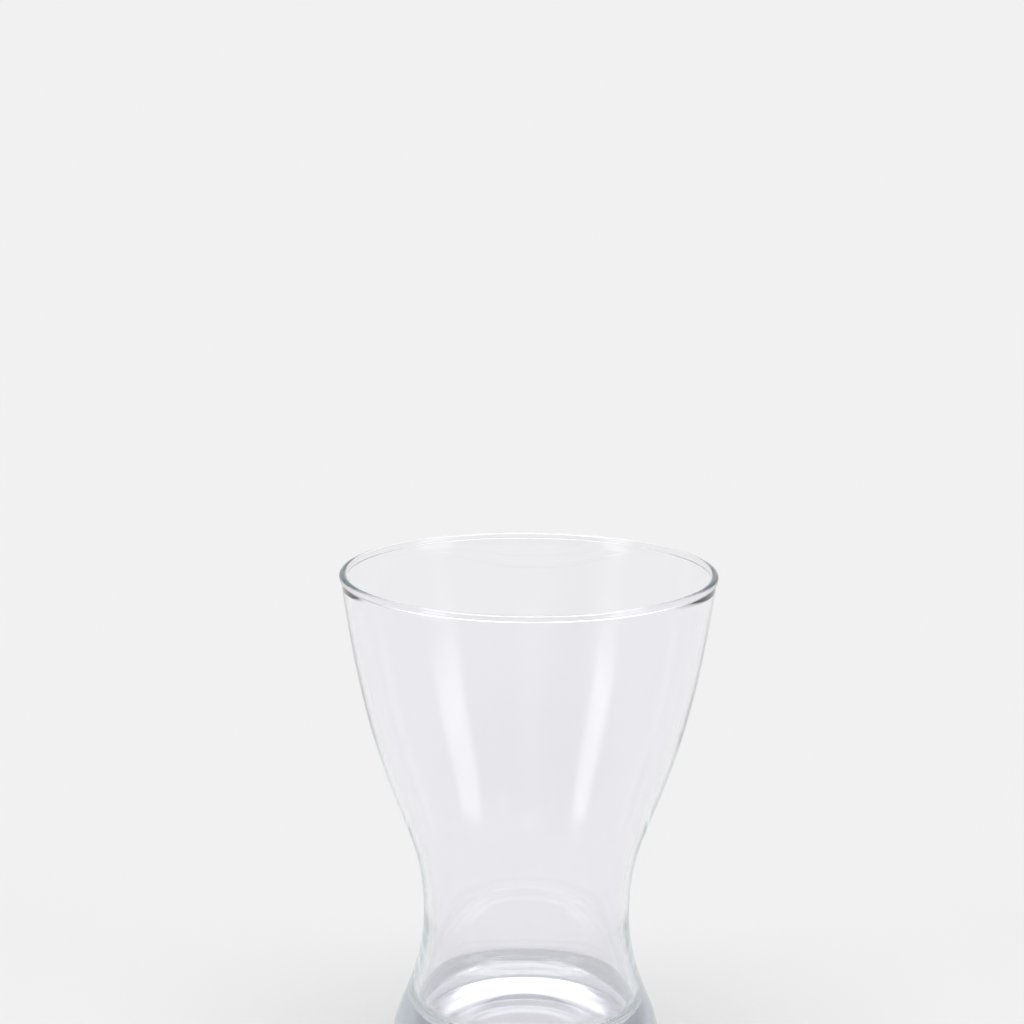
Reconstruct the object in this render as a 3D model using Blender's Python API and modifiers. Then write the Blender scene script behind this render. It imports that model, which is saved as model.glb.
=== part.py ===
"""Waisted flower vase: one turned body of clear glass.

A wide bowl narrows to a waist and spreads again into a heavy foot. The body stands on a flat bearing
ring around a shallow push-up, and its mouth ends in a rounded, fire-polished rim. The origin is at the
centre of the bearing ring, with +Z along the axis of the vase. All lengths are in metres.
"""

import math

import bpy
from mathutils import Vector

NAME = "waisted_glass_vase"

# The outside, from the rim down.
HEIGHT = 0.230
RIM_RADIUS = 0.0860
RIM_LEAN = math.radians(7.4)
BOWL_FULLNESS = 0.1125
WAIST_RADIUS = 0.0480
WAIST_HEIGHT = 0.0680
WAIST_REACH_UP = 0.049
WAIST_REACH_DOWN = 0.0328
FOOT_RADIUS = 0.0623
FOOT_HEIGHT = 0.0070
FOOT_REACH_UP = 0.0143

# The underside.
RING_OUTER_RADIUS = 0.0560
RING_INNER_RADIUS = 0.0460
PUSH_UP_HEIGHT = 0.0024

# The rim bead, the hollow fillets under it, and the wall, whose thickness grows towards the foot.
BEAD_RADIUS = 0.00170
FILLET_RADIUS = 0.00100
RIM_WALL = 0.0022
WAIST_WALL = 0.0036
HEEL_WALL = 0.0052

# The inside of the foot.
HEEL_HEIGHT = 0.0300
FLOOR_HEIGHT = 0.0135
FLOOR_FLAT_RADIUS = 0.0220
HEEL_REACH_DOWN = 0.0105
HEEL_REACH_IN = 0.0150

# Segments along each stretch of the outline, and around the axis.
BEAD_QUARTER_SEGMENTS = 4
BEAD_UNDER_SEGMENTS = 2
FILLET_SEGMENTS = 2
BOWL_SEGMENTS = 14
FOOT_SEGMENTS = 9
CORNER_SEGMENTS = 4
PUSH_UP_SEGMENTS = 3
HEEL_SEGMENTS = 6
TURN_STEPS = 64

MERGE_DISTANCE = 0.00001
SHARP_ANGLE = math.radians(40.0)


def bezier(start, start_handle, end_handle, end, segments):
    """Points of a cubic curve in the (radius, height) plane, both ends included."""
    points = []
    for i in range(segments + 1):
        t = i / segments
        s = 1.0 - t
        points.append(
            s**3 * start + 3 * s * s * t * start_handle + 3 * s * t * t * end_handle + t**3 * end
        )
    return points


def arc(centre, radii, start_angle, end_angle, segments):
    """Points of an elliptic arc in the (radius, height) plane, both ends included."""
    points = []
    for i in range(segments + 1):
        angle = start_angle + (end_angle - start_angle) * i / segments
        points.append(centre + Vector((radii[0] * math.cos(angle), radii[1] * math.sin(angle))))
    return points


def chain(*stretches):
    """Joins stretches end to end, leaving out the point that each shares with the one before."""
    points = list(stretches[0])
    for stretch in stretches[1:]:
        points.extend(stretch[1:])
    return points


def wall_at(height):
    """Wall thickness at a height: thin at the rim, thicker at the waist and thickest at the heel."""
    if height > WAIST_HEIGHT:
        share = (height - WAIST_HEIGHT) / (HEIGHT - WAIST_HEIGHT)
        return WAIST_WALL + (RIM_WALL - WAIST_WALL) * share
    share = (WAIST_HEIGHT - height) / (WAIST_HEIGHT - HEEL_HEIGHT)
    return WAIST_WALL + (HEEL_WALL - WAIST_WALL) * share


def offset_inward(points):
    """The inner face of the wall: each outer point moved square to the wall by its thickness there."""
    moved = []
    for i, point in enumerate(points):
        ahead = points[min(i + 1, len(points) - 1)]
        behind = points[max(i - 1, 0)]
        along = (ahead - behind).normalized()
        inward = Vector((along.y, -along.x))
        moved.append(point + inward * wall_at(point.y))
    return moved


def wall_axes():
    """The directions out of the wall and down along it, just under the rim."""
    outward = Vector((math.cos(RIM_LEAN), -math.sin(RIM_LEAN)))
    down = Vector((-math.sin(RIM_LEAN), -math.cos(RIM_LEAN)))
    return outward, down


def bead_centre():
    """The middle of the bead's round section."""
    return Vector((RIM_RADIUS - BEAD_RADIUS, HEIGHT - BEAD_RADIUS))


def fillet_place():
    """A fillet's centre from the bead's centre: how far out of the wall and how far down it."""
    across = RIM_WALL / 2 + FILLET_RADIUS
    return across, math.sqrt((BEAD_RADIUS + FILLET_RADIUS) ** 2 - across**2)


def outer_bowl():
    """The outside of the bowl, from the fillet under the bead down to the waist."""
    outward, down = wall_axes()
    start = bead_centre() + outward * (RIM_WALL / 2) + down * fillet_place()[1]
    waist = Vector((WAIST_RADIUS, WAIST_HEIGHT))
    above_waist = waist + Vector((0.0, WAIST_REACH_UP))
    return bezier(start, start + down * BOWL_FULLNESS, above_waist, waist, BOWL_SEGMENTS)


def outer_foot():
    """The outside of the foot, from the waist down to its widest point."""
    waist = Vector((WAIST_RADIUS, WAIST_HEIGHT))
    widest = Vector((FOOT_RADIUS, FOOT_HEIGHT))
    below_waist = waist - Vector((0.0, WAIST_REACH_DOWN))
    above_widest = widest + Vector((0.0, FOOT_REACH_UP))
    return bezier(waist, below_waist, above_widest, widest, FOOT_SEGMENTS)


def underside():
    """The rounded bottom corner, the flat bearing ring and the shallow push-up, ending on the axis."""
    corner_radii = (FOOT_RADIUS - RING_OUTER_RADIUS, FOOT_HEIGHT)
    corner = arc(Vector((RING_OUTER_RADIUS, FOOT_HEIGHT)), corner_radii, 0.0, -math.pi / 2, CORNER_SEGMENTS)
    ring = [corner[-1], Vector((RING_INNER_RADIUS, 0.0))]
    push_up = []
    for i in range(PUSH_UP_SEGMENTS + 1):
        share = i / PUSH_UP_SEGMENTS
        rise = PUSH_UP_HEIGHT * math.sin(share * math.pi / 2)
        push_up.append(Vector((RING_INNER_RADIUS * (1.0 - share), rise)))
    return chain(corner, ring, push_up)


def rim_bead():
    """The rounded rim, from the inner fillet over the bead's top to the outer fillet."""
    outward, down = wall_axes()
    across, below = fillet_place()
    centre = bead_centre()
    inner_fillet = centre - outward * across + down * below
    outer_fillet = centre + outward * across + down * below
    bead = (BEAD_RADIUS, BEAD_RADIUS)
    fillet = (FILLET_RADIUS, FILLET_RADIUS)
    under = math.atan2(below, across)
    return chain(
        arc(inner_fillet, fillet, -RIM_LEAN, under - RIM_LEAN, FILLET_SEGMENTS),
        arc(centre, bead, math.pi + under - RIM_LEAN, math.pi, BEAD_UNDER_SEGMENTS),
        arc(centre, bead, math.pi, math.pi / 2, BEAD_QUARTER_SEGMENTS),
        arc(centre, bead, math.pi / 2, 0.0, BEAD_QUARTER_SEGMENTS),
        arc(centre, bead, 0.0, -under - RIM_LEAN, BEAD_UNDER_SEGMENTS),
        arc(outer_fillet, fillet, math.pi - under - RIM_LEAN, math.pi - RIM_LEAN, FILLET_SEGMENTS),
    )


def cavity_floor_and_heel(heel_top, along_wall):
    """The flat floor from the axis outwards, then the rounded heel up to the wall."""
    edge = Vector((FLOOR_FLAT_RADIUS, FLOOR_HEIGHT))
    edge_handle = edge + Vector((HEEL_REACH_IN, 0.0))
    heel = bezier(edge, edge_handle, heel_top + along_wall * HEEL_REACH_DOWN, heel_top, HEEL_SEGMENTS)
    return chain([Vector((0.0, FLOOR_HEIGHT)), edge], heel)


def vase_outline():
    """The whole closed outline, from the axis on the cavity floor round to the axis underneath."""
    bowl = outer_bowl()
    foot = outer_foot()
    outside = chain(bowl, foot)
    inside = [point for point in offset_inward(outside) if point.y > HEEL_HEIGHT]
    along_wall = (inside[-1] - inside[-2]).normalized()
    floor_and_heel = cavity_floor_and_heel(inside[-1], along_wall)
    inner_wall = list(reversed(inside))
    return chain(floor_and_heel, inner_wall) + rim_bead()[1:-1] + chain(outside, underside())


def clear_glass():
    """Clear soda-lime glass with a trace of cool grey."""
    material = bpy.data.materials.new("clear_glass")
    material.use_nodes = True
    shader = material.node_tree.nodes["Principled BSDF"]
    shader.inputs["Base Color"].default_value = (0.96, 0.97, 0.98, 1.0)
    shader.inputs["Roughness"].default_value = 0.02
    shader.inputs["Metallic"].default_value = 0.0
    shader.inputs["IOR"].default_value = 1.52
    shader.inputs["Transmission Weight"].default_value = 1.0
    return material


def turned_body(name, outline, material, collection):
    """One solid of revolution about +Z from an outline that starts and ends on the axis."""
    mesh = bpy.data.meshes.new(name)
    vertices = [(point.x, 0.0, point.y) for point in outline]
    edges = [(i, i + 1) for i in range(len(vertices) - 1)]
    mesh.from_pydata(vertices, edges, [])
    body = bpy.data.objects.new(name, mesh)
    collection.objects.link(body)
    body.data.materials.append(material)
    screw = body.modifiers.new("turn", "SCREW")
    screw.axis = "Z"
    screw.angle = math.tau
    screw.steps = TURN_STEPS
    screw.render_steps = TURN_STEPS
    screw.use_merge_vertices = True
    screw.merge_threshold = MERGE_DISTANCE
    screw.use_smooth_shade = True
    return body


def shade_round(body):
    """Replaces the modifiers' result by a plain mesh with smooth faces and sharp corners."""
    depsgraph = bpy.context.evaluated_depsgraph_get()
    mesh = bpy.data.meshes.new_from_object(body.evaluated_get(depsgraph))
    mesh.name = body.name
    body.modifiers.clear()
    body.data = mesh
    mesh.shade_smooth()
    mesh.set_sharp_from_angle(angle=SHARP_ANGLE)


def main():
    for old in list(bpy.data.objects):
        bpy.data.objects.remove(old, do_unlink=True)
    collection = bpy.data.collections.new(NAME)
    bpy.context.scene.collection.children.link(collection)
    body = turned_body("vase_body", vase_outline(), clear_glass(), collection)
    shade_round(body)


main()
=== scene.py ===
"""Looks of the waisted glass vase: one finely turned glass body on a pale floor in soft studio light."""

import math

import bpy
from mathutils import Matrix, Vector, noise


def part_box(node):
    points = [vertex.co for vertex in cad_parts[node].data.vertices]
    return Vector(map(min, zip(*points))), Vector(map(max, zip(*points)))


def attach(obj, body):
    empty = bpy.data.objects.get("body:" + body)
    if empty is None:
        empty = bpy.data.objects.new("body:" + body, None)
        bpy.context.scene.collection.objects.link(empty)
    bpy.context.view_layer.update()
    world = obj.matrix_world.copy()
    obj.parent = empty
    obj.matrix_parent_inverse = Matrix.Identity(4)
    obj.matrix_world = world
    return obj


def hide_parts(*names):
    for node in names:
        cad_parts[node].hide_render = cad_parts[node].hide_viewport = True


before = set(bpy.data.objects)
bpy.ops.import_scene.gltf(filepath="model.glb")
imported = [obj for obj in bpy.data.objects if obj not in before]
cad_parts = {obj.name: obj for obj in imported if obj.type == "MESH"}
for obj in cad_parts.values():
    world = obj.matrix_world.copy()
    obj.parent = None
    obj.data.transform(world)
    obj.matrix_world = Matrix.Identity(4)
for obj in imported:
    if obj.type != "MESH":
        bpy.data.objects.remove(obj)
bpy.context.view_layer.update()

# ---------------------------------------------------------------------------
# Sizes in metres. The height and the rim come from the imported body's own box, and the rest repeats
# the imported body's outline, from the rim down.
# ---------------------------------------------------------------------------
body_low, body_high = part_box("vase_body")
HEIGHT = body_high.z - body_low.z
RIM_RADIUS = body_high.x

RIM_LEAN = math.radians(7.4)
BOWL_FULLNESS = 0.1125
WAIST_RADIUS = 0.0480
WAIST_HEIGHT = 0.0680
WAIST_REACH_UP = 0.049
WAIST_REACH_DOWN = 0.0328
FOOT_RADIUS = 0.0623
FOOT_HEIGHT = 0.0070
FOOT_REACH_UP = 0.0143
RING_OUTER_RADIUS = 0.0560
RING_INNER_RADIUS = 0.0460
PUSH_UP_HEIGHT = 0.0024
BEAD_RADIUS = 0.00170
FILLET_RADIUS = 0.00100
RIM_WALL = 0.0022
WAIST_WALL = 0.0036
HEEL_WALL = 0.0052
HEEL_HEIGHT = 0.0300
FLOOR_HEIGHT = 0.0135
FLOOR_FLAT_RADIUS = 0.0220
HEEL_REACH_DOWN = 0.0105
HEEL_REACH_IN = 0.0150

# Fineness of the visible mesh.
BEAD_QUARTER_SEGMENTS = 14
BEAD_UNDER_SEGMENTS = 8
FILLET_SEGMENTS = 8
BOWL_SEGMENTS = 90
FOOT_SEGMENTS = 44
CORNER_SEGMENTS = 18
RING_SEGMENTS = 4
PUSH_UP_SEGMENTS = 16
HEEL_SEGMENTS = 26
FLOOR_SEGMENTS = 6
TURN_STEPS = 224

# Edges sharper than this keep their crease.
SHARP_ANGLE = math.radians(50.0)

# Radii under these count as on the axis, for a point of the outline and for a point of the mesh.
OUTLINE_ON_AXIS = 1e-9
MESH_ON_AXIS = 1e-6

# How far the hot-worked glass strays from a perfect turned form, how fine its waves are across and
# along the axis, and the height over which they die out above the bearing ring.
OUTER_WAVE = 0.00005
INNER_WAVE = 0.00011
WAVE_SCALE = (22.0, 22.0, 11.0)
STILL_HEIGHT = 0.001
WAVE_RISE = 0.010

# The rim's slow ripple, only downwards: its size, how deep it reaches, and each wave's share, count
# around the rim and phase.
RIM_RIPPLE = 0.00022
RIM_RIPPLE_DEPTH = 0.012
RIM_WAVES = ((0.6, 2, 0.7), (0.3, 5, 2.1))

# Glass: its index, the two faint tints that its surface drifts between, light smears, the ring worn
# dull with the heights between which it fades, vertical streaks with a finer unevenness over them, and
# the colour that depth gives it. A scale is a noise's fineness, per metre.
GLASS_IOR = 1.52
TINTS = ((0.976, 0.968, 0.990, 1.0), (0.968, 0.961, 0.983, 1.0))
TINT_SCALE = 9.0
SMEAR_SCALE = 26.0
SMEAR_STRETCH = (1.0, 1.0, 0.4)
SMEAR_RANGE = (0.55, 0.80)
SMEAR_ROUGHNESS = 0.03
WORN_RANGE = (0.0002, 0.0008)
WORN_ROUGHNESS = 0.30
STREAK_SCALE = 38.0
STREAK_STRETCH = (1.0, 1.0, 0.18)
FINE_SCALE = 120.0
FINE_SHARE = 0.12
BUMP_DISTANCE = 0.00002
DEPTH_COLOUR = (0.64, 0.77, 0.79, 1.0)
DEPTH_DENSITY = 5.0

# Floor: its size, the hair's breadth that it lies under the vase, its own glow near the vase, its tone,
# and the distances between which the glow rises to the horizon's and takes over from the tone.
FLOOR_RADIUS = 40.0
FLOOR_SIDES = 128
FLOOR_GAP = 0.0002
FLOOR_GLOW = 0.44
FLOOR_FADE = (0.8, 4.0)
FLOOR_TONE = (0.2367, 0.2373, 0.2327, 1.0)

# Light: the horizon, the dimmer room above it, and the sines of the elevations between which one
# turns into the other.
HORIZON = 0.88
ROOM_TONE = (0.54, 0.535, 0.575, 1.0)
ROOM_RISE = (0.10, 0.42)

# Soft lights: azimuth, elevation, half width, half height, soft edge and radiance. Azimuth 0 is the
# camera's side, elevation is measured from the floor, both in degrees; the sizes are sines of angles.
SOFTBOXES = (
    (0.0, 90.0, 0.50, 0.36, 0.06, 5.0),
    (-60.0, 24.0, 0.14, 0.30, 0.08, 1.7),
    (64.0, 24.0, 0.20, 0.30, 0.08, 1.5),
    (178.0, 38.0, 0.22, 0.24, 0.08, 1.8),
)

# Soft flags between the lights, which draw the glass's edges: azimuth, elevation, half width, half
# height and soft edge, as above, and the share of the room's light that each takes away.
FLAGS = (
    (148.0, 14.0, 0.20, 0.34, 0.12),
    (225.0, 14.0, 0.20, 0.34, 0.12),
    (-32.0, 14.0, 0.20, 0.34, 0.12),
)
FLAG_SHADE = 0.25

# Soft edge of the half of the room in front of a light or flag, as a sine.
FRONT_EDGE = 0.1

# Camera: its place about the vase's axis, in metres and degrees.
LENS_MM = 84.375
SENSOR_MM = 36.0
CAMERA_DISTANCE = 1.0629
CAMERA_HEIGHT = 0.4729
CAMERA_PITCH = math.radians(11.49)
CAMERA_YAW = math.radians(0.42)
CAMERA_ROLL = math.radians(0.32)

# Bounces that light makes inside the thick glass, and surfaces that it may pass straight through.
GLASS_BOUNCES = 96
CLEAR_BOUNCES = 16


# ---------------------------------------------------------------------------
# The outline, in the (radius, height) plane.
# ---------------------------------------------------------------------------
def bezier(start, start_handle, end_handle, end, segments):
    """Points of a cubic curve, both ends included."""
    points = []
    for i in range(segments + 1):
        t = i / segments
        s = 1.0 - t
        points.append(
            s**3 * start + 3 * s * s * t * start_handle + 3 * s * t * t * end_handle + t**3 * end
        )
    return points


def arc(centre, radii, start_angle, end_angle, segments):
    """Points of an elliptic arc, both ends included."""
    points = []
    for i in range(segments + 1):
        angle = start_angle + (end_angle - start_angle) * i / segments
        points.append(centre + Vector((radii[0] * math.cos(angle), radii[1] * math.sin(angle))))
    return points


def straight(start, end, segments):
    """Evenly spaced points from start to end, both ends included."""
    return [start.lerp(end, i / segments) for i in range(segments + 1)]


def chain(*stretches):
    """Joins stretches end to end, leaving out the point that each shares with the one before."""
    points = list(stretches[0])
    for stretch in stretches[1:]:
        points.extend(stretch[1:])
    return points


def wall_at(height):
    """Wall thickness at a height: thin at the rim, thicker at the waist and thickest at the heel."""
    if height > WAIST_HEIGHT:
        share = (height - WAIST_HEIGHT) / (HEIGHT - WAIST_HEIGHT)
        return WAIST_WALL + (RIM_WALL - WAIST_WALL) * share
    share = (WAIST_HEIGHT - height) / (WAIST_HEIGHT - HEEL_HEIGHT)
    return WAIST_WALL + (HEEL_WALL - WAIST_WALL) * share


def offset_inward(points):
    """The inner face of the wall: each outer point moved square to the wall by its thickness."""
    moved = []
    for i, point in enumerate(points):
        ahead = points[min(i + 1, len(points) - 1)]
        behind = points[max(i - 1, 0)]
        along = (ahead - behind).normalized()
        moved.append(point + Vector((along.y, -along.x)) * wall_at(point.y))
    return moved


def wall_axes():
    """The directions out of the wall and down along it, just under the rim."""
    outward = Vector((math.cos(RIM_LEAN), -math.sin(RIM_LEAN)))
    down = Vector((-math.sin(RIM_LEAN), -math.cos(RIM_LEAN)))
    return outward, down


def bead_centre():
    """The middle of the bead's round section."""
    return Vector((RIM_RADIUS - BEAD_RADIUS, HEIGHT - BEAD_RADIUS))


def fillet_place():
    """A fillet's centre from the bead's centre: how far out of the wall and how far down it."""
    across = RIM_WALL / 2 + FILLET_RADIUS
    return across, math.sqrt((BEAD_RADIUS + FILLET_RADIUS) ** 2 - across**2)


def outer_side():
    """The outside of the bowl and the foot, from the fillet under the bead to the widest point."""
    outward, down = wall_axes()
    start = bead_centre() + outward * (RIM_WALL / 2) + down * fillet_place()[1]
    waist = Vector((WAIST_RADIUS, WAIST_HEIGHT))
    above_waist = waist + Vector((0.0, WAIST_REACH_UP))
    below_waist = waist - Vector((0.0, WAIST_REACH_DOWN))
    widest = Vector((FOOT_RADIUS, FOOT_HEIGHT))
    above_widest = widest + Vector((0.0, FOOT_REACH_UP))
    bowl = bezier(start, start + down * BOWL_FULLNESS, above_waist, waist, BOWL_SEGMENTS)
    foot = bezier(waist, below_waist, above_widest, widest, FOOT_SEGMENTS)
    return chain(bowl, foot)


def underside():
    """The rounded bottom corner, the flat bearing ring and the shallow push-up, up to the axis."""
    corner_radii = (FOOT_RADIUS - RING_OUTER_RADIUS, FOOT_HEIGHT)
    corner = arc(Vector((RING_OUTER_RADIUS, FOOT_HEIGHT)), corner_radii, 0.0, -math.pi / 2, CORNER_SEGMENTS)
    ring = straight(corner[-1], Vector((RING_INNER_RADIUS, 0.0)), RING_SEGMENTS)
    push_up = []
    for i in range(PUSH_UP_SEGMENTS + 1):
        share = i / PUSH_UP_SEGMENTS
        rise = PUSH_UP_HEIGHT * math.sin(share * math.pi / 2)
        push_up.append(Vector((RING_INNER_RADIUS * (1.0 - share), rise)))
    return chain(corner, ring, push_up)


def rim_bead():
    """The rounded rim, from the inner fillet over the bead's top to the outer fillet."""
    outward, down = wall_axes()
    across, below = fillet_place()
    centre = bead_centre()
    inner_fillet = centre - outward * across + down * below
    outer_fillet = centre + outward * across + down * below
    bead = (BEAD_RADIUS, BEAD_RADIUS)
    fillet = (FILLET_RADIUS, FILLET_RADIUS)
    under = math.atan2(below, across)
    return chain(
        arc(inner_fillet, fillet, -RIM_LEAN, under - RIM_LEAN, FILLET_SEGMENTS),
        arc(centre, bead, math.pi + under - RIM_LEAN, math.pi, BEAD_UNDER_SEGMENTS),
        arc(centre, bead, math.pi, math.pi / 2, BEAD_QUARTER_SEGMENTS),
        arc(centre, bead, math.pi / 2, 0.0, BEAD_QUARTER_SEGMENTS),
        arc(centre, bead, 0.0, -under - RIM_LEAN, BEAD_UNDER_SEGMENTS),
        arc(outer_fillet, fillet, math.pi - under - RIM_LEAN, math.pi - RIM_LEAN, FILLET_SEGMENTS),
    )


def cavity_floor_and_heel(heel_top, along_wall):
    """The flat floor from the axis outwards, then the rounded heel up to the wall."""
    edge = Vector((FLOOR_FLAT_RADIUS, FLOOR_HEIGHT))
    edge_handle = edge + Vector((HEEL_REACH_IN, 0.0))
    heel_handle = heel_top + along_wall * HEEL_REACH_DOWN
    heel = bezier(edge, edge_handle, heel_handle, heel_top, HEEL_SEGMENTS)
    return chain(straight(Vector((0.0, FLOOR_HEIGHT)), edge, FLOOR_SEGMENTS), heel)


def vase_outline():
    """The closed outline, from the axis on the cavity floor round to the axis underneath, and the
    number of its points that lie inside the vase."""
    outside = outer_side()
    inside = [point for point in offset_inward(outside) if point.y > HEEL_HEIGHT]
    along_wall = (inside[-1] - inside[-2]).normalized()
    inner = chain(cavity_floor_and_heel(inside[-1], along_wall), list(reversed(inside)))
    outline = inner + rim_bead()[1:-1] + chain(outside, underside())
    return outline, len(inner)


# ---------------------------------------------------------------------------
# The glass body.
# ---------------------------------------------------------------------------
def waved(point, inner):
    """A surface point moved a little along its radius, and near the rim a little down, as hot-worked
    glass strays from a turned form."""
    radius = math.hypot(point.x, point.y)
    if radius < MESH_ON_AXIS:
        return point
    outward = Vector((point.x / radius, point.y / radius, 0.0))
    fade = min(1.0, radius / FLOOR_FLAT_RADIUS) * min(1.0, max(0.0, point.z - STILL_HEIGHT) / WAVE_RISE)
    place = Vector([value * scale for value, scale in zip(point, WAVE_SCALE)])
    wave = noise.noise(place)
    size = INNER_WAVE if inner else OUTER_WAVE
    moved = point + outward * size * fade * wave
    depth = HEIGHT - point.z
    if depth < RIM_RIPPLE_DEPTH:
        angle = math.atan2(point.y, point.x)
        near_rim = (1.0 - depth / RIM_RIPPLE_DEPTH) ** 2
        ripple = sum(share * (math.cos(count * angle + phase) - 1.0) for share, count, phase in RIM_WAVES)
        moved.z += RIM_RIPPLE * near_rim * ripple
    return moved


def turned_mesh(name, outline, inner_count):
    """A closed mesh of revolution about +Z from an outline that starts and ends on the axis."""
    vertices = []
    rings = []
    for index, point in enumerate(outline):
        if point.x < OUTLINE_ON_AXIS:
            rings.append([len(vertices)])
            vertices.append(Vector((0.0, 0.0, point.y)))
            continue
        ring = []
        for step in range(TURN_STEPS):
            angle = math.tau * step / TURN_STEPS
            place = Vector((point.x * math.cos(angle), point.x * math.sin(angle), point.y))
            ring.append(len(vertices))
            vertices.append(waved(place, index < inner_count))
        rings.append(ring)
    faces = []
    for upper, lower in zip(rings, rings[1:]):
        for step in range(TURN_STEPS):
            after = (step + 1) % TURN_STEPS
            if len(upper) == 1:
                faces.append((upper[0], lower[step], lower[after]))
            elif len(lower) == 1:
                faces.append((upper[step], lower[0], upper[after]))
            else:
                faces.append((upper[step], lower[step], lower[after], upper[after]))
    mesh = bpy.data.meshes.new(name)
    mesh.from_pydata(vertices, [], faces)
    mesh.update()
    mesh.shade_smooth()
    mesh.set_sharp_from_angle(angle=SHARP_ANGLE)
    return mesh


# ---------------------------------------------------------------------------
# Node helpers.
# ---------------------------------------------------------------------------
def math_node(tree, operation, *values):
    """The result of a Math node whose inputs are numbers or other nodes' results."""
    node = tree.nodes.new("ShaderNodeMath")
    node.operation = operation
    for socket, value in zip(node.inputs, values):
        if isinstance(value, bpy.types.NodeSocket):
            tree.links.new(value, socket)
        else:
            socket.default_value = value
    return node.outputs["Value"]


def map_range(tree, value, start, end, low, high, interpolation="SMOOTHSTEP"):
    """A change from low to high as the value goes from start to end, smooth unless it says otherwise."""
    node = tree.nodes.new("ShaderNodeMapRange")
    node.interpolation_type = interpolation
    node.inputs["From Min"].default_value = start
    node.inputs["From Max"].default_value = end
    node.inputs["To Min"].default_value = low
    node.inputs["To Max"].default_value = high
    tree.links.new(value, node.inputs["Value"])
    return node.outputs["Result"]


def blend_colours(tree, share, first, second):
    """A colour that goes from the first to the second as the share goes from 0 to 1."""
    node = tree.nodes.new("ShaderNodeMix")
    node.data_type = "RGBA"
    node.inputs["A"].default_value = first
    node.inputs["B"].default_value = second
    tree.links.new(share, node.inputs["Factor"])
    return node.outputs["Result"]


def noise_at(tree, place, scale, detail, stretch=(1.0, 1.0, 1.0)):
    """A noise field over the object, stretched along an axis where its factor is under 1."""
    mapping = tree.nodes.new("ShaderNodeMapping")
    mapping.inputs["Scale"].default_value = stretch
    texture = tree.nodes.new("ShaderNodeTexNoise")
    texture.inputs["Scale"].default_value = scale
    texture.inputs["Detail"].default_value = detail
    tree.links.new(place, mapping.inputs["Vector"])
    tree.links.new(mapping.outputs["Vector"], texture.inputs["Vector"])
    return texture.outputs["Fac"]


def part_along(tree, direction, axis):
    """How far a direction points along an axis: one along it, minus one against it."""
    node = tree.nodes.new("ShaderNodeVectorMath")
    node.operation = "DOT_PRODUCT"
    tree.links.new(direction, node.inputs[0])
    node.inputs[1].default_value = axis
    return node.outputs["Value"]


# ---------------------------------------------------------------------------
# Materials.
# ---------------------------------------------------------------------------
def new_material(name):
    """A material with its node tree and its shader."""
    material = bpy.data.materials.new(name)
    material.use_nodes = True
    return material, material.node_tree, material.node_tree.nodes["Principled BSDF"]


def glass_tint(tree, place):
    """A faint cool cast, a little uneven."""
    return blend_colours(tree, noise_at(tree, place, TINT_SCALE, detail=2.0), *TINTS)


def glass_roughness(tree, place):
    """Polished, with light smears, and a ring worn dull where the vase stands."""
    patches = noise_at(tree, place, SMEAR_SCALE, detail=3.0, stretch=SMEAR_STRETCH)
    smears = map_range(tree, patches, *SMEAR_RANGE, 0.0, SMEAR_ROUGHNESS, "LINEAR")
    height = tree.nodes.new("ShaderNodeSeparateXYZ")
    tree.links.new(place, height.inputs["Vector"])
    worn = map_range(tree, height.outputs["Z"], *WORN_RANGE, WORN_ROUGHNESS, 0.0, "LINEAR")
    return math_node(tree, "MAXIMUM", smears, worn)


def glass_unevenness(tree, place):
    """Slow vertical streaks and a finer unevenness of the hot-worked surface."""
    streaks = noise_at(tree, place, STREAK_SCALE, detail=1.0, stretch=STREAK_STRETCH)
    fine = noise_at(tree, place, FINE_SCALE, detail=2.0)
    bump = tree.nodes.new("ShaderNodeBump")
    bump.inputs["Strength"].default_value = 1.0
    bump.inputs["Distance"].default_value = BUMP_DISTANCE
    tree.links.new(math_node(tree, "MULTIPLY_ADD", fine, FINE_SHARE, streaks), bump.inputs["Height"])
    return bump.outputs["Normal"]


def glass_depth(tree):
    """The grey-blue that thick glass takes on."""
    depth = tree.nodes.new("ShaderNodeVolumeAbsorption")
    depth.inputs["Color"].default_value = DEPTH_COLOUR
    depth.inputs["Density"].default_value = DEPTH_DENSITY
    return depth.outputs["Volume"]


def glass_material():
    """Clear soda-lime glass."""
    material, tree, shader = new_material("clear_glass")
    shader.inputs["Transmission Weight"].default_value = 1.0
    shader.inputs["IOR"].default_value = GLASS_IOR
    place = tree.nodes.new("ShaderNodeTexCoord").outputs["Object"]
    tree.links.new(glass_tint(tree, place), shader.inputs["Base Color"])
    tree.links.new(glass_roughness(tree, place), shader.inputs["Roughness"])
    tree.links.new(glass_unevenness(tree, place), shader.inputs["Normal"])
    output = next(node for node in tree.nodes if node.type == "OUTPUT_MATERIAL")
    tree.links.new(glass_depth(tree), output.inputs["Volume"])
    return material


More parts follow.
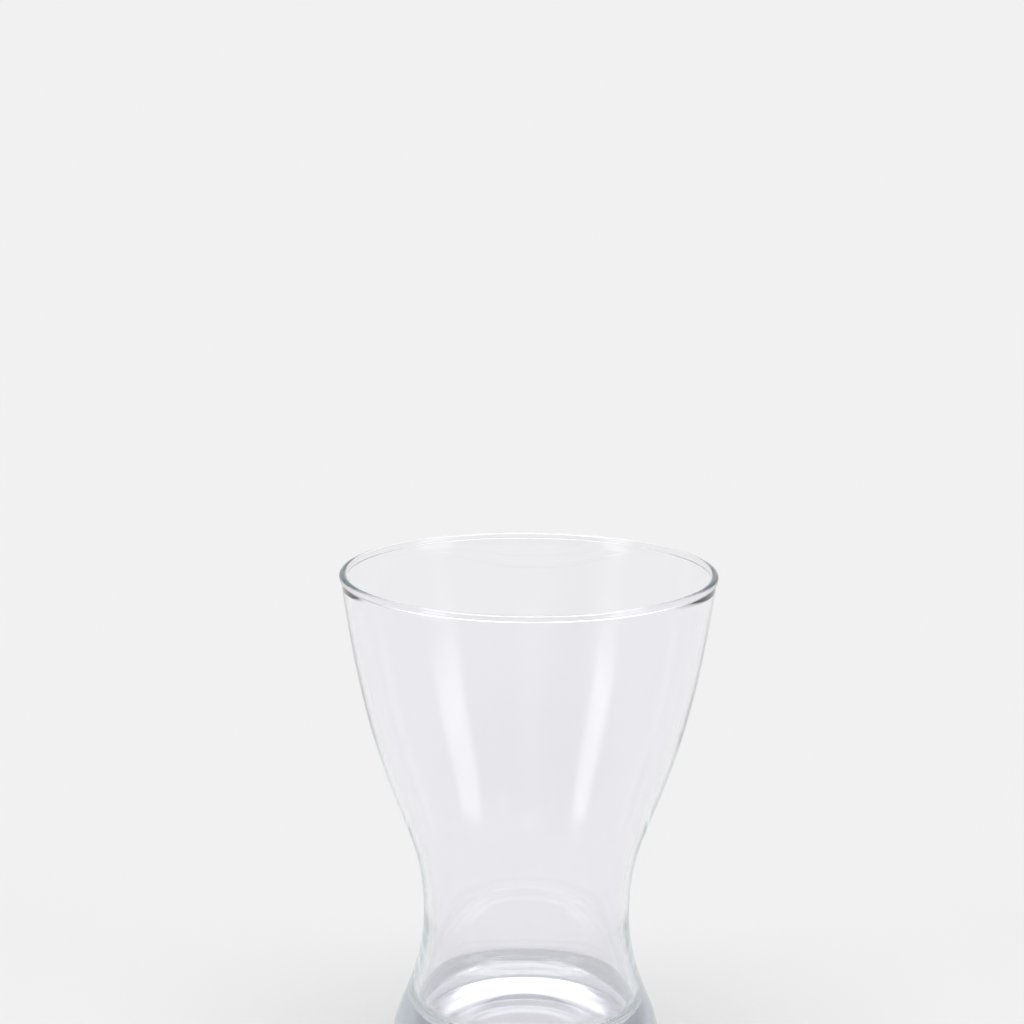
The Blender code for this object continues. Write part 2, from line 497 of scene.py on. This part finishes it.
def floor_material():
    """A matt pale table lit softly from below, everywhere as bright as the horizon behind it. Far from
    the vase its own glow takes over from the light that it sends back."""
    material, tree, shader = new_material("pale_floor")
    shader.inputs["Roughness"].default_value = 1.0
    shader.inputs["Specular IOR Level"].default_value = 0.0
    shader.inputs["Emission Color"].default_value = (1.0, 1.0, 1.0, 1.0)
    place = tree.nodes.new("ShaderNodeTexCoord")
    distance = tree.nodes.new("ShaderNodeVectorMath")
    distance.operation = "LENGTH"
    tree.links.new(place.outputs["Object"], distance.inputs[0])
    glow = map_range(tree, distance.outputs["Value"], *FLOOR_FADE, FLOOR_GLOW, HORIZON)
    tree.links.new(glow, shader.inputs["Emission Strength"])
    far = map_range(tree, distance.outputs["Value"], *FLOOR_FADE, 0.0, 1.0)
    tone = blend_colours(tree, far, FLOOR_TONE, (0.0, 0.0, 0.0, 1.0))
    tree.links.new(tone, shader.inputs["Base Color"])
    return material


# ---------------------------------------------------------------------------
# Stage, light and camera.
# ---------------------------------------------------------------------------
def add_floor():
    """A wide round pale floor, just under the height that the vase stands on."""
    bpy.ops.mesh.primitive_circle_add(vertices=FLOOR_SIDES, radius=FLOOR_RADIUS, fill_type="NGON")
    floor = bpy.context.object
    floor.name = "floor"
    floor.location = (0.0, 0.0, body_low.z - FLOOR_GAP)
    floor.data.materials.append(floor_material())


def soft_rectangle(tree, direction, azimuth, elevation, half_width, half_height, edge):
    """One inside a rectangle of directions with soft edges, and nothing outside it."""
    turn, tilt = math.radians(azimuth), math.radians(elevation)
    facing = Vector((math.sin(turn) * math.cos(tilt), -math.cos(turn) * math.cos(tilt), math.sin(tilt)))
    right = Vector((math.cos(turn), math.sin(turn), 0.0))
    up = right.cross(facing)
    across = math_node(tree, "ABSOLUTE", part_along(tree, direction, right))
    upward = math_node(tree, "ABSOLUTE", part_along(tree, direction, up))
    in_width = map_range(tree, across, half_width - edge, half_width + edge, 1.0, 0.0)
    in_height = map_range(tree, upward, half_height - edge, half_height + edge, 1.0, 0.0)
    in_front = map_range(tree, part_along(tree, direction, facing), 0.0, FRONT_EDGE, 0.0, 1.0)
    return math_node(tree, "MULTIPLY", math_node(tree, "MULTIPLY", in_width, in_height), in_front)


def studio_light():
    """A pale horizon, a dimmer room above it, flags that shade it, and soft lights overhead and around."""
    world = bpy.data.worlds.new("studio")
    bpy.context.scene.world = world
    world.use_nodes = True
    tree = world.node_tree
    nodes, links = tree.nodes, tree.links
    direction = nodes.new("ShaderNodeTexCoord").outputs["Generated"]
    ramp = nodes.new("ShaderNodeValToRGB")
    links.new(part_along(tree, direction, (0.0, 0.0, 1.0)), ramp.inputs["Fac"])
    ramp.color_ramp.interpolation = "EASE"
    tones = ((HORIZON, HORIZON, HORIZON, 1.0), ROOM_TONE)
    for stop, position, tone in zip(ramp.color_ramp.elements, ROOM_RISE, tones):
        stop.position = position
        stop.color = tone
    clear = 1.0
    for azimuth, elevation, half_width, half_height, edge in FLAGS:
        mask = soft_rectangle(tree, direction, azimuth, elevation, half_width, half_height, edge)
        passed = math_node(tree, "MULTIPLY_ADD", mask, -FLAG_SHADE, 1.0)
        clear = math_node(tree, "MULTIPLY", clear, passed)
    room = nodes.new("ShaderNodeVectorMath")
    room.operation = "SCALE"
    links.new(ramp.outputs["Color"], room.inputs[0])
    links.new(clear, room.inputs["Scale"])
    glow = None
    for azimuth, elevation, half_width, half_height, edge, radiance in SOFTBOXES:
        mask = soft_rectangle(tree, direction, azimuth, elevation, half_width, half_height, edge)
        lit = math_node(tree, "MULTIPLY", mask, radiance)
        glow = lit if glow is None else math_node(tree, "ADD", glow, lit)
    total = nodes.new("ShaderNodeVectorMath")
    total.operation = "ADD"
    links.new(room.outputs["Vector"], total.inputs[0])
    links.new(glow, total.inputs[1])
    links.new(total.outputs["Vector"], nodes["Background"].inputs["Color"])
    nodes["Background"].inputs["Strength"].default_value = 1.0


def add_camera():
    """The camera, placed about the vase's axis."""
    lens = bpy.data.cameras.new("camera")
    lens.lens = LENS_MM
    lens.sensor_width = SENSOR_MM
    camera = bpy.data.objects.new("camera", lens)
    bpy.context.scene.collection.objects.link(camera)
    camera.location = (0.0, -CAMERA_DISTANCE, body_low.z + CAMERA_HEIGHT)
    camera.rotation_mode = "XYZ"
    look = Vector((-math.sin(CAMERA_YAW), math.cos(CAMERA_YAW), -math.tan(CAMERA_PITCH)))
    aim = look.to_track_quat("-Z", "Y").to_matrix()
    roll = Matrix.Rotation(CAMERA_ROLL, 3, "Z")
    camera.rotation_euler = (aim @ roll).to_euler()
    bpy.context.scene.camera = camera


def add_vase():
    """The glass body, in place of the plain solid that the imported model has."""
    outline, inner_count = vase_outline()
    vase = bpy.data.objects.new("vase_glass", turned_mesh("vase_glass", outline, inner_count))
    bpy.context.scene.collection.objects.link(vase)
    vase.data.materials.append(glass_material())
    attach(vase, "root")
    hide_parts("vase_body")


add_vase()
add_floor()
studio_light()
add_camera()

scene = bpy.context.scene
scene.view_settings.view_transform = "Standard"
scene.cycles.max_bounces = GLASS_BOUNCES
scene.cycles.transmission_bounces = GLASS_BOUNCES
scene.cycles.glossy_bounces = GLASS_BOUNCES
scene.cycles.transparent_max_bounces = CLEAR_BOUNCES
